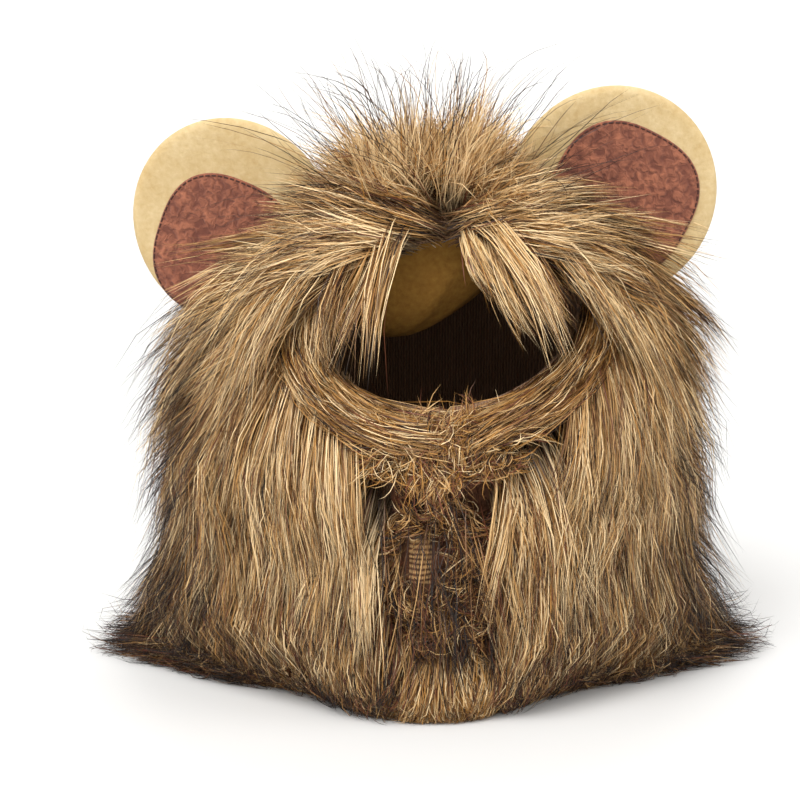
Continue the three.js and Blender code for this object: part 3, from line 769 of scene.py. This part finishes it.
guides = standing(320, 0.52, -0.46, 0.34, 0.3, 0.54, 8, 21)
paths, pick = fibres_round(guides, 10800, 4.6 * MM, gather=0.6, frizz=2.6 * MM, points=4)
fur("crown_tuft", round_ears(outside(paths)), blended(pick, 7.3, spread=1.6, tipped=0.08))
guides = standing(180, 0.4, -0.4, 0.1, 0.85, 1.35, 6, 20)
paths, pick = fibres_round(guides, 420, 3 * MM, gather=0.3, frizz=3.5 * MM, shortest=0.7, points=8)
paths = round_ears(outside(paths))
tones = blended(pick, 1.0, gold=0, russet=0.02, tipped=0.6)
fur("crown_guard_hairs", paths, tones, width=GUARD_HAIR_WIDTH)

# Lip of the face opening
# Below the opening the pile is turned into a roll: its fibres run along the edge from both corners and turn
# down in the middle.
LIP_LOCKS = 110  # a side
LIP_WIDTH = 13 * MM
LIP_END = 177  # degrees round the opening from its top, where the two sides meet

for side, name in ((-1, "lip_left"), (1, "lip_right")):
    start = random.uniform(58, 160, LIP_LOCKS)[:, None]
    margin = (random.uniform(0, 1, LIP_LOCKS) * LIP_WIDTH)[:, None]
    degrees = np.minimum(start + random.uniform(36, 62, LIP_LOCKS)[:, None] * ALONG, LIP_END)
    close = np.clip((degrees - 100) / 70, 0, 1)
    over = np.maximum(start + 55 * ALONG - LIP_END, 0) * 0.2 * MM
    x, z = rim_place(side * degrees, margin * (1 - 0.5 * close) + (1.5 + 3.5 * ALONG**2) * MM + over)
    stand = random.uniform(0.16, 0.5, LIP_LOCKS)[:, None] + 0.012 * margin / MM
    guides = front_point(x, z, stand * np.sin(math.pi * (0.04 + 0.8 * ALONG)))
    paths, pick = fibres_round(guides, 5200, 3.4 * MM, gather=0.5)
    fur(name, outside(paths), blended(pick, 4.2, spread=1.9, gold=0.22, tipped=0.2))

# Forelocks
# A few short locks fall over the top of the opening from each side of the parting, and close to points.
FORELOCKS = (  # degrees round the opening, lean, fall, stand-off by the mane's own, and curl
    (9, 0.1, 0.3, 0.4, 0.06),
    (14, 0.2, 0.5, 0.42, 0.05),
    (20, 0.22, 0.4, 0.46, 0.08),
    (27, 0.26, 0.48, 0.42, 0.02),
    (33, 0.24, 0.3, 0.46, 0.06),
    (40, 0.2, 0.22, 0.42, 0.05),
    (-44, -0.12, 0.34, 0.42, 0.14),
    (-50, -0.2, 0.46, 0.42, 0.18),
    (-58, -0.16, 0.52, 0.42, 0.2),
    (-66, -0.1, 0.36, 0.4, 0.12),
)

curves = []
for rim, lean, fall, out, curl in FORELOCKS:
    x, z = rim_place(rim, 3 * MM)
    stand = out * np.sin(math.pi * (0.02 + 0.75 * ALONG))
    aside = lean * ALONG + curl * ALONG**3
    curves.append(front_point(x + aside * PILE, z - fall * PILE * ALONG**1.15, stand))
paths, pick = fibres_round(np.array(curves), 2900, 3.6 * MM, gather=0.88, frizz=1.5 * MM, shortest=0.45)
fur("forelocks", outside(paths), blended(pick, 4.7, spread=1.9, gold=0.15, tipped=0.25))

# Chin tuft
# Under the middle of the lip the pile is tousled into short golden curls.
CHIN_LOW = 93 * MM
CHIN_HIGH = 107 * MM
CHIN_HALF_WIDTH = 24 * MM
CHIN_HOLLOWS = ((-19 * MM, 82 * MM), (18 * MM, 84 * MM))  # x and z of dark places at the flap's corners
HOLLOW_RADIUS = 7 * MM
CURL_SHORT = 8 * MM
CURL_LONG = 22 * MM
CURL_TURN = 2.2  # how far one turns along its way, in radians
CURL_LOOP = 3 * MM


def tousled(count, middle, half_width, low, high, low_off, high_off):
    """Guides that wander over the front of the hood, each standing off the cloth in a low loop."""
    x = (middle + half_width * random.uniform(-1, 1, count))[:, None]
    z = random.uniform(low, high, count)[:, None]
    way = random.uniform(-2.4, 2.4, count)[:, None] + random.normal(size=(count, 1)) * CURL_TURN * ALONG
    step = random.uniform(CURL_SHORT, CURL_LONG, count)[:, None] / (GUIDE_POINTS - 1)
    x = x + np.cumsum(np.sin(way) * step, axis=1)
    z = z - np.cumsum(np.cos(way) * step, axis=1)
    stand = random.uniform(low_off, high_off, count)[:, None] + CURL_LOOP * np.sin(math.pi * ALONG)
    return front_point(x, np.maximum(z, 2 * MM), stand / PILE_STAND)


def clear_of_hollows(guides):
    clear = np.ones(len(guides), dtype=bool)
    for x, z in CHIN_HOLLOWS:
        clear &= (np.hypot(guides[..., 0] - AXIS.x - x, guides[..., 2] - z) > HOLLOW_RADIUS).all(axis=1)
    return guides[clear]


guides = tousled(260, FLAP_X - 3 * MM, CHIN_HALF_WIDTH, CHIN_LOW, CHIN_HIGH, 9 * MM, 16 * MM)
guides = clear_of_hollows(guides)
paths, pick = fibres_round(guides, 3000, 2.2 * MM, gather=0.3, frizz=1.6 * MM, points=6)
fur("chin_tuft", outside(paths), blended(pick, 4.2, spread=2.0, gold=0.28, russet=0.18, tipped=0.05))

# Stray fibres
# Long dark guard hairs that stand off the combed surface all over, finer than the rest. They are thickest at
# the two sides, and none hangs in the face opening.
STRAY_WIDTH = 0.32 * MM


def clear_of_opening(guides):
    across, up = in_opening(guides[..., 0] - AXIS.x, guides[..., 2])
    before = (np.hypot(across, up) < 1) & (guides[..., 1] < 0)
    return guides[~before.any(axis=1)]


for name, ranges, locks, fibres, lift, out, reach in (
    ("stray_fibres", ((-180, 180),), 1300, 3200, (0.1, 0.6), (0.95, 1.15), 1.0),
    ("stray_fibres_sides", ((-118, -58), (58, 118)), 450, 3800, (0.25, 0.85), (0.95, 1.2), 1.03),
):
    angle, root = roots_between(ranges, locks, 0.05, 0.985)
    guides = falling(
        angle,
        root,
        PILE * random.uniform(0.6, 1.0, len(root)),
        random.uniform(*out, len(root)),
        random.uniform(1.2, 2.2, len(root)),
        lift=random.uniform(*lift, (len(root), 1)),
        splay=0.9,
    )
    guides = clear_of_opening(guides)
    paths, pick = fibres_round(guides, fibres, 4.5 * MM, gather=0.5, frizz=2.6 * MM, shortest=0.8, points=4)
    paths = round_ears(outside(paths, reach))
    fur(name, paths, blended(pick, 0.5, gold=0, russet=0.02, tipped=0.6), width=STRAY_WIDTH)

# Ears
# Two rounds of short-pile plush sewn face to face, turned and filled with a little wadding. They are cupped
# forwards, and their lower halves are buried in the mane.
EAR_THICKNESS = 9 * MM
EAR_CUP = 7 * MM
PLUSH_LIGHT = "#d3bd91"
PLUSH_DARK = "#b5965f"
PLUSH_GRAIN = 1.1 * MM
PLUSH_STROKE = 8.3 * MM
PLUSH_RELIEF = 0.8 * MM

# Tan velboa plush: a pale short nap, mottled where it was stroked, with a faint bright edge
plush, plush_shader = new_material(
    "tan_velboa_plush", Roughness=0.85, Sheen_Weight=0.15, Sheen_Roughness=0.5
)
place = add_node(plush, "ShaderNodeTexCoord").outputs["Object"]
grain = {"Vector": place, "Scale": NOISE_LUMP / PLUSH_GRAIN, "Detail": 6, "Roughness": 0.65}
nap = add_node(plush, "ShaderNodeTexNoise", grain).outputs["Fac"]
stroke = {"Vector": place, "Scale": NOISE_LUMP / PLUSH_STROKE, "Detail": 3}
strokes = add_node(plush, "ShaderNodeTexNoise", stroke).outputs["Fac"]
nap_share, stroke_share = (
    add_node(plush, "ShaderNodeMapRange", {0: pattern, 1: 0.3, 2: 0.7, 3: 0, 4: 0.5}).outputs[0]
    for pattern in (nap, strokes)
)
both = add_node(plush, "ShaderNodeMath", {0: nap_share, 1: stroke_share}, operation="ADD").outputs[0]
two_shades(plush, plush_shader, both, PLUSH_DARK, PLUSH_LIGHT, nap, PLUSH_RELIEF, 0.5)


def cupped(across, up):
    """How far the ear's middle plane stands forward at a place on it, and half its thickness there."""
    share = np.minimum(np.hypot(across, up) / EAR_RADIUS, 1)
    return EAR_CUP * share**2, 0.5 * EAR_THICKNESS * (1 - share**2) ** 0.6 + 1.2 * MM


def round_of_cloth(ear, segments, shaped):
    """A round of cloth on an ear: a ball, each of whose places is turned into one on the ear."""
    bm = bmesh.new()
    forwards = Matrix.Rotation(math.pi / 2, 4, "X")
    bmesh.ops.create_uvsphere(bm, u_segments=segments, v_segments=segments // 2, radius=1, matrix=forwards)
    for vert in bm.verts:
        vert.co = ear_place(ear) @ shaped(ear, vert.co.x, -vert.co.y, vert.co.z)
    bmesh.ops.recalc_face_normals(bm, faces=bm.faces)
    return bm


def on_ear(_, x, forward, z):
    across = x * EAR_RADIUS
    up = z * EAR_RADIUS
    middle, half = cupped(across, up)
    turned = math.copysign(min(abs(forward) * 3, 1) ** 0.5, forward)
    return Vector((across, -middle - turned * half, up))


for side, ear in EARS.items():
    pad = finished(round_of_cloth(ear, 72, on_ear), f"plush_ear_{side}", plush)
    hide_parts(f"ear_{side}")

# Ear patches
# An oval of red-brown boucle on the front of each ear. Its edge is turned under and stitched down with dark
# thread.
PATCH_HALF_WIDTH = 27 * MM
PATCH_HALF_HEIGHT = 28 * MM
PATCH_SQUARENESS = 2.6  # 2 would be an oval
PATCH_RISE = 1.9 * MM
PATCH_SINK = 0.2 * MM  # its edge and back lie this far in the ear
# painted light and shade: the loops' tops are lit and the gaps shaded in colour, over the boucle's own
# mottle
BOUCLE_DARK_AND_SHADE = "#592a1d"
BOUCLE_LIGHT_AND_LIT = "#a8674a"
BOUCLE_THREAD = "#3e1d14"
BOUCLE_LOOP = 1.3 * MM
BOUCLE_MOTTLE = 4.06 * MM
BOUCLE_RELIEF = 0.7 * MM
STITCHES = 72  # round each patch
STITCH_LENGTH = 0.7  # share of the way to the next one
STITCH_LINE = 0.97  # of the way out to the patch's edge
STITCH_RADIUS = 0.35 * MM
STITCH_RISE = 0.75 * MM

# Red-brown boucle: small curled loops, mottled over a few of them, with painted light on their tops and
# painted shade between them
boucle, boucle_shader = new_material(
    "red_brown_boucle", Roughness=0.95, Sheen_Weight=0.12, Sheen_Roughness=0.6
)
place = add_node(boucle, "ShaderNodeTexCoord").outputs["Object"]
curled = {"Vector": place, "Scale": NOISE_LUMP / BOUCLE_LOOP, "Detail": 2, "Distortion": 0.7}
loops = add_node(boucle, "ShaderNodeTexNoise", curled).outputs["Fac"]
uneven = {"Vector": place, "Scale": NOISE_LUMP / BOUCLE_MOTTLE, "Detail": 4, "Roughness": 0.65}
mottle = add_node(boucle, "ShaderNodeTexNoise", uneven).outputs["Fac"]
# painted light and shade: the colour follows the loops' height, lighter on top and darker between
raised = add_node(boucle, "ShaderNodeMapRange", {0: loops, 1: 0.34, 2: 0.64, 3: 0.2, 4: 1}).outputs[0]
mottled = add_node(boucle, "ShaderNodeMapRange", {0: mottle, 1: 0.32, 2: 0.68, 3: 0.25, 4: 1}).outputs[0]
both = add_node(boucle, "ShaderNodeMath", {0: raised, 1: mottled}, operation="MULTIPLY").outputs[0]
two_shades(boucle, boucle_shader, both, BOUCLE_DARK_AND_SHADE, BOUCLE_LIGHT_AND_LIT, raised, BOUCLE_RELIEF, 0.7)

# Brown sewing thread: a dark dashed line just inside the patch's edge
thread, _ = new_material("brown_sewing_thread", Base_Color=linear(BOUCLE_THREAD), Roughness=0.8)


def on_patch(ear, x, z, rise):
    """A place on an ear's patch, or over it by a rise, from its place on a round one of radius 1."""
    turn = math.atan2(z, x)
    corner = sum(abs(part) ** PATCH_SQUARENESS for part in (math.cos(turn), math.sin(turn)))
    corner = corner ** (-1 / PATCH_SQUARENESS)
    across = x * corner * PATCH_HALF_WIDTH
    up = z * corner * PATCH_HALF_HEIGHT - ear["patch_drop"] * MM
    middle, half = cupped(across, up)
    return Vector((across, -middle - half - rise, up))


def turned_under(ear, x, forward, z):
    return on_patch(ear, x, z, PATCH_RISE * max(forward, 0) ** 0.45 - PATCH_SINK)


for side, ear in EARS.items():
    patch = finished(round_of_cloth(ear, 64, turned_under), f"boucle_patch_{side}", boucle)
    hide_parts(f"ear_patch_{side}")

    curve = bpy.data.curves.new("stitch", "CURVE")
    curve.dimensions = "3D"
    curve.bevel_depth = STITCH_RADIUS
    curve.bevel_resolution = 1
    for i in range(STITCHES):
        spline = curve.splines.new("POLY")
        spline.points.add(2)
        for k, point in enumerate(spline.points):
            turn = 2 * math.pi * (i + STITCH_LENGTH * k / 2) / STITCHES
            x, z = STITCH_LINE * math.cos(turn), STITCH_LINE * math.sin(turn)
            point.co = (*(ear_place(ear) @ on_patch(ear, x, z, STITCH_RISE)), 1)
    tube = bpy.data.objects.new("stitch", curve)
    bpy.context.collection.objects.link(tube)
    shown = tube.evaluated_get(bpy.context.evaluated_depsgraph_get())
    bm = bmesh.new()
    bm.from_mesh(bpy.data.meshes.new_from_object(shown))
    bpy.data.objects.remove(tube)
    stitches = finished(bm, f"patch_stitches_{side}", thread)

# Crown lining
# A loose cap of thin tan fleece, sewn round inside the crown. Its middle hangs down towards the brow, so it
# shows as a tan curve in the top of the face opening.
LINING_FRONT_Z = 173 * MM
LINING_BACK_Z = 158 * MM
LINING_SAG = 36 * MM
SAG_X = -15 * MM
SAG_Y = -14 * MM
LINING_CLEARANCE = 2.3 * MM  # to the inside of the knitted hood
LINING_FOLDS = 9
LINING_FOLD_DEPTH = 2.2 * MM
LINING_THICKNESS = 1.4 * MM
FLEECE_TUFT = 1.19 * MM
FLEECE_RELIEF = 0.6 * MM
# painted shade: both tans are darker than the fleece's own, for the shade inside the hood
FLEECE_SHADED_LIGHT = "#b3853e"
FLEECE_SHADED_DARK = "#6a461c"

# Tan lining fleece: matt and fluffy, its tan darkened as painted shade for the shade inside the hood
fleece, fleece_shader = new_material("tan_lining_fleece", Roughness=0.95, Specular_IOR_Level=0.1)
place = add_node(fleece, "ShaderNodeTexCoord").outputs["Object"]
fluffy = {"Vector": place, "Scale": NOISE_LUMP / FLEECE_TUFT, "Detail": 5, "Roughness": 0.6}
tufts = add_node(fleece, "ShaderNodeTexNoise", fluffy).outputs["Fac"]
two_shades(fleece, fleece_shader, tufts, FLEECE_SHADED_DARK, FLEECE_SHADED_LIGHT, tufts, FLEECE_RELIEF, 0.5)

bm = bmesh.new()
bmesh.ops.create_grid(bm, x_segments=56, y_segments=56, size=1)
for vert in bm.verts:
    u, v = vert.co.x, vert.co.y
    a = u * math.sqrt(1 - v * v / 2)
    b = v * math.sqrt(1 - u * u / 2)
    share = min(math.hypot(a, b), 1)
    edge = LINING_FRONT_Z + (LINING_BACK_Z - LINING_FRONT_Z) * (b + 1) / 2
    radius = cap_radius(edge, NECK_RADIUS - CLOTH, HOOD_HEIGHT - CLOTH) - LINING_CLEARANCE
    droop = 1 - share**2
    fold = LINING_FOLD_DEPTH * math.sin(LINING_FOLDS * math.atan2(b, a) + 3 * share) * share * droop
    vert.co = (
        AXIS.x + a * radius + SAG_X * droop,
        AXIS.y + DEPTH_RATIO * (b * radius + SAG_Y * droop),
        edge - LINING_SAG * droop + fold,
    )
bmesh.ops.recalc_face_normals(bm, faces=bm.faces)
lining = finished(bm, "fleece_lining", fleece)
thickened(lining, LINING_THICKNESS)
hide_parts("crown_lining")

# Chin flap
# A strip of the same furred knit that closes the front edges. Its pile has matted into curls over puckered
# cloth, and its lower end keeps a golden tuft that reaches the floor.
FLAP_HALF_WIDTH = 20 * MM
FLAP_TOP = 98 * MM
FLAP_BOTTOM = 14 * MM
FLAP_BAND = 31 * MM  # below it the flap is bare down to its tuft
FLAP_THICKNESS = 4 * MM
FLAP_WALL = 3 * MM
WELT_X = -4.5 * MM  # a puckered welt shows through the curls
WELT_HALF_WIDTH = 5 * MM
WELT_LOW = 48 * MM
WELT_HIGH = 69 * MM
WELT_EDGE = 3 * MM
WELT_RIB = 1.9 * MM
WELT_STAND = 1.6 * MM
WELT_RIB_DEPTH = 0.9 * MM
TUFT_LOCKS = 84
TUFT_FAN = 0.75  # share of them in the wide fan, the rest in a narrow wisp beside it
MATTED_CURL = 1.316 * MM
MATTED_RELIEF = 1.2 * MM
MATTED_DARK = "#2c180f"
MATTED_LIGHT = "#7f5135"
MATTED_WELT = "#c89f6a"

# Matted pile on its backing: clotted brown curls, and over the welt paler ribs where the cloth shows
matted, matted_shader = new_material("matted_pile_backing", Roughness=0.95)
place = add_node(matted, "ShaderNodeTexCoord").outputs["Object"]
clotted = {"Vector": place, "Scale": NOISE_LUMP / MATTED_CURL, "Detail": 5, "Distortion": 1.5}
curls = add_node(matted, "ShaderNodeTexNoise", clotted).outputs["Fac"]
browns = {"Factor": curls, 6: linear(MATTED_DARK), 7: linear(MATTED_LIGHT)}
brown = add_node(matted, "ShaderNodeMix", browns, data_type="RGBA").outputs[2]
axes = add_node(matted, "ShaderNodeSeparateXYZ", {0: place})
across = {0: axes.outputs["X"], 1: AXIS.x + WELT_X, 2: 0.8 * WELT_HALF_WIDTH}
along = {0: axes.outputs["Z"], 1: 0.5 * (WELT_LOW + WELT_HIGH), 2: 0.45 * (WELT_HIGH - WELT_LOW)}
in_width, in_length = (
    add_node(matted, "ShaderNodeMath", inputs, operation="COMPARE").outputs[0] for inputs in (across, along)
)
on_welt = add_node(matted, "ShaderNodeMath", {0: in_width, 1: in_length}, operation="MULTIPLY").outputs[0]
ribbed = {"Vector": place, "Scale": WAVE_TURN / WELT_RIB, "Distortion": 3, "Detail": 2, "Detail Scale": 0.6}
ribs = add_node(matted, "ShaderNodeTexWave", ribbed, bands_direction="Z").outputs["Fac"]
pale = add_node(matted, "ShaderNodeMath", {0: on_welt, 1: ribs}, operation="MULTIPLY").outputs[0]
two_shades(matted, matted_shader, pale, brown, MATTED_WELT, curls, MATTED_RELIEF, 0.8)


def flap_point(x, z, off):
    radius = cap_radius(z, NECK_RADIUS, HOOD_HEIGHT) + off
    return np.stack((AXIS.x + x, AXIS.y - DEPTH_RATIO * np.sqrt(radius**2 - x**2), z), axis=-1)


bm = bmesh.new()
bmesh.ops.create_grid(bm, x_segments=26, y_segments=160, size=1)
for vert in bm.verts:
    x = FLAP_X + vert.co.x * FLAP_HALF_WIDTH
    z = FLAP_BOTTOM + (FLAP_TOP - FLAP_BOTTOM) * (vert.co.y + 1) / 2
    across_share, up_share = vert.co.x, vert.co.y
    pucker = 0.9 * MM * math.sin(17 * up_share + 3 * across_share)
    pucker = pucker + 0.6 * MM * math.sin(31 * up_share - 7 * across_share)
    across = min(abs(x - WELT_X) / WELT_HALF_WIDTH, 1)
    along = min(max((z - WELT_LOW) / WELT_EDGE, 0), 1) * min(max((WELT_HIGH - z) / WELT_EDGE, 0), 1)
    rib = 0.5 + 0.5 * math.sin(2 * math.pi * z / WELT_RIB + 2.2 * ((x - WELT_X) / WELT_HALF_WIDTH) ** 2)
    welt = (1 - across**2) * along * (WELT_STAND + WELT_RIB_DEPTH * rib)
    vert.co = flap_point(x, z, 0.5 * MM + FLAP_THICKNESS + pucker * (1 - along * (1 - across)) + welt)
bmesh.ops.recalc_face_normals(bm, faces=bm.faces)
if sum(face.normal.y for face in bm.faces) > 0:
    bmesh.ops.reverse_faces(bm, faces=bm.faces)
flap = finished(bm, "flap_backing", matted)
thickened(flap, FLAP_WALL)
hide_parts("chin_flap")

guides = tousled(460, FLAP_X, 1.05 * FLAP_HALF_WIDTH, FLAP_BAND, FLAP_TOP, 4.5 * MM, 8.5 * MM)
beside_welt = np.abs(guides[..., 0] - AXIS.x - WELT_X) > WELT_HALF_WIDTH
past_welt = np.abs(guides[..., 2] - 0.5 * (WELT_LOW + WELT_HIGH)) > 0.5 * (WELT_HIGH - WELT_LOW)
guides = clear_of_hollows(guides[(beside_welt | past_welt).mean(axis=1) > 0.8])
paths, pick = fibres_round(guides, 4400, 2.2 * MM, gather=0.3, frizz=1.4 * MM, points=6)
fur("flap_curls", outside(paths), blended(pick, 2.9, spread=2.0, russet=0.15, tipped=0))

fan = random.uniform(size=(TUFT_LOCKS, 1)) < TUFT_FAN
middle = np.where(fan, FLAP_X - 3 * MM, FLAP_X + 13 * MM)
aside = np.where(fan, 7 * MM, 5 * MM) * random.uniform(-1, 1, (TUFT_LOCKS, 1))
root = random.uniform(15, 24, TUFT_LOCKS)[:, None] * MM
fall = random.uniform(0.36, 0.52, TUFT_LOCKS)[:, None] * PILE
height = root - fall * ALONG**1.1
off = random.uniform(0.6, 1.0, TUFT_LOCKS)[:, None] * (1 - (1 - ALONG) ** 1.6)
off = off + np.maximum(-height, 0) * 0.4 / PILE_STAND
spread = 1 + np.where(fan, 1.9, 0.4) * ALONG
guides = front_point(middle + aside * spread, np.maximum(height, 1.5 * MM), off + 0.13)
paths, pick = fibres_round(guides, 4200, 4 * MM, gather=0.65, frizz=2 * MM, points=4)
paths = outside(paths)
tones = blended(pick, 4.6, spread=1.8, gold=0.22, russet=0.08, tipped=0.3)
fur("flap_tuft", paths, tones)
